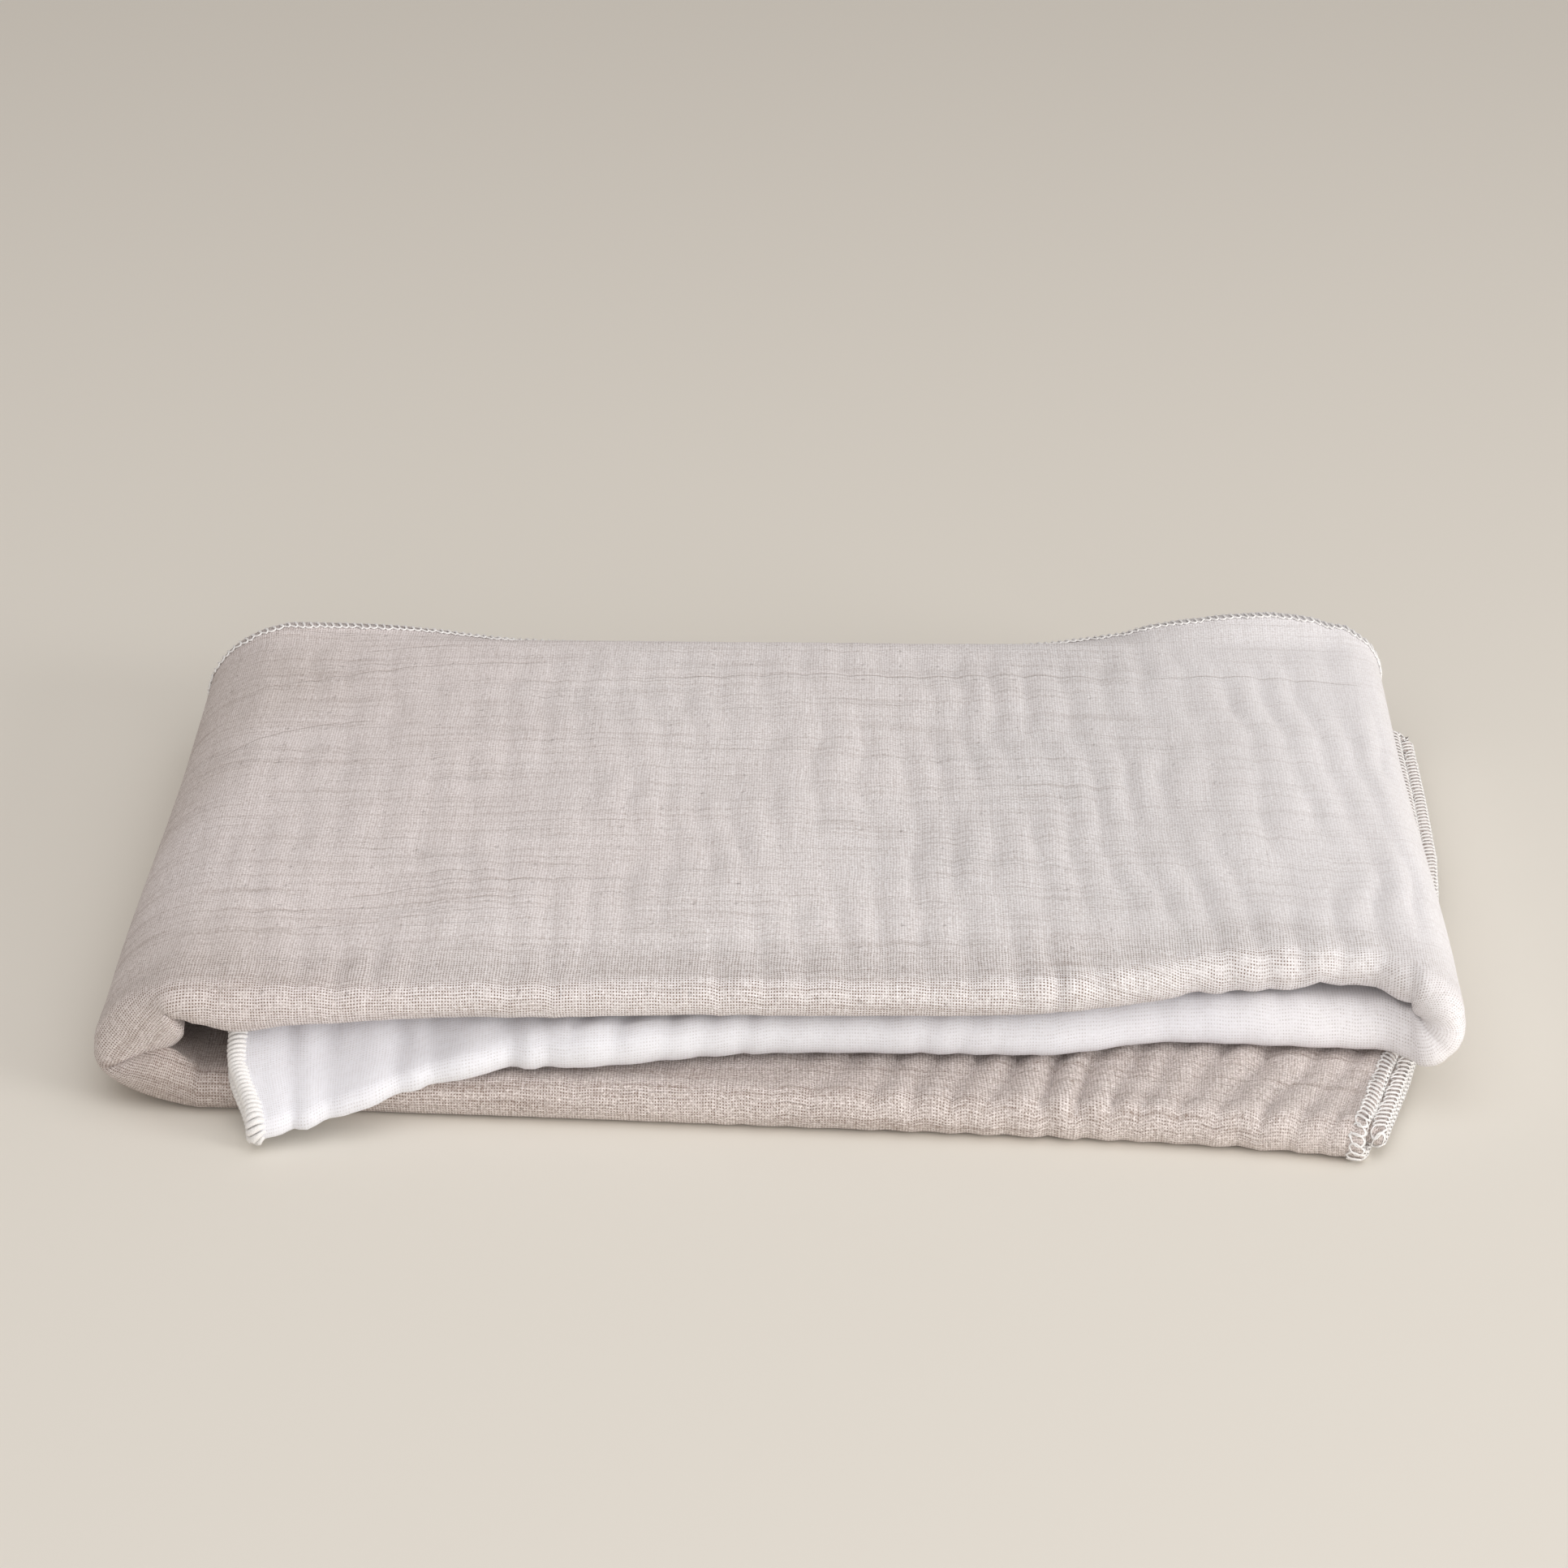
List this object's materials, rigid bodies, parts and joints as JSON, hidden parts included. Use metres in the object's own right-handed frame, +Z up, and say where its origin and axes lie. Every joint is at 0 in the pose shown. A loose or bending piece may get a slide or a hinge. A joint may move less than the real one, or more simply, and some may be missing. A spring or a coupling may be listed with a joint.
{
  "type": "folded gauze swaddle",
  "caption": "Square double-gauze baby swaddle folded lengthwise in quarters and then in thirds, with one loose corner at the front.",
  "frame": {"origin": "middle of the underside's bounding box, at table height", "axes": "+X to the right along the folded length, +Y away from the rolled front edges towards the free edges at the back, +Z up"},
  "size_m": [0.42, 0.2958, 0.048],
  "materials": {
    "gauze": "matte crinkled cotton gauze"
  },
  "bodies": {
    "root": {"swaddle_cloth": "gauze"}
  },
  "joints": []
}
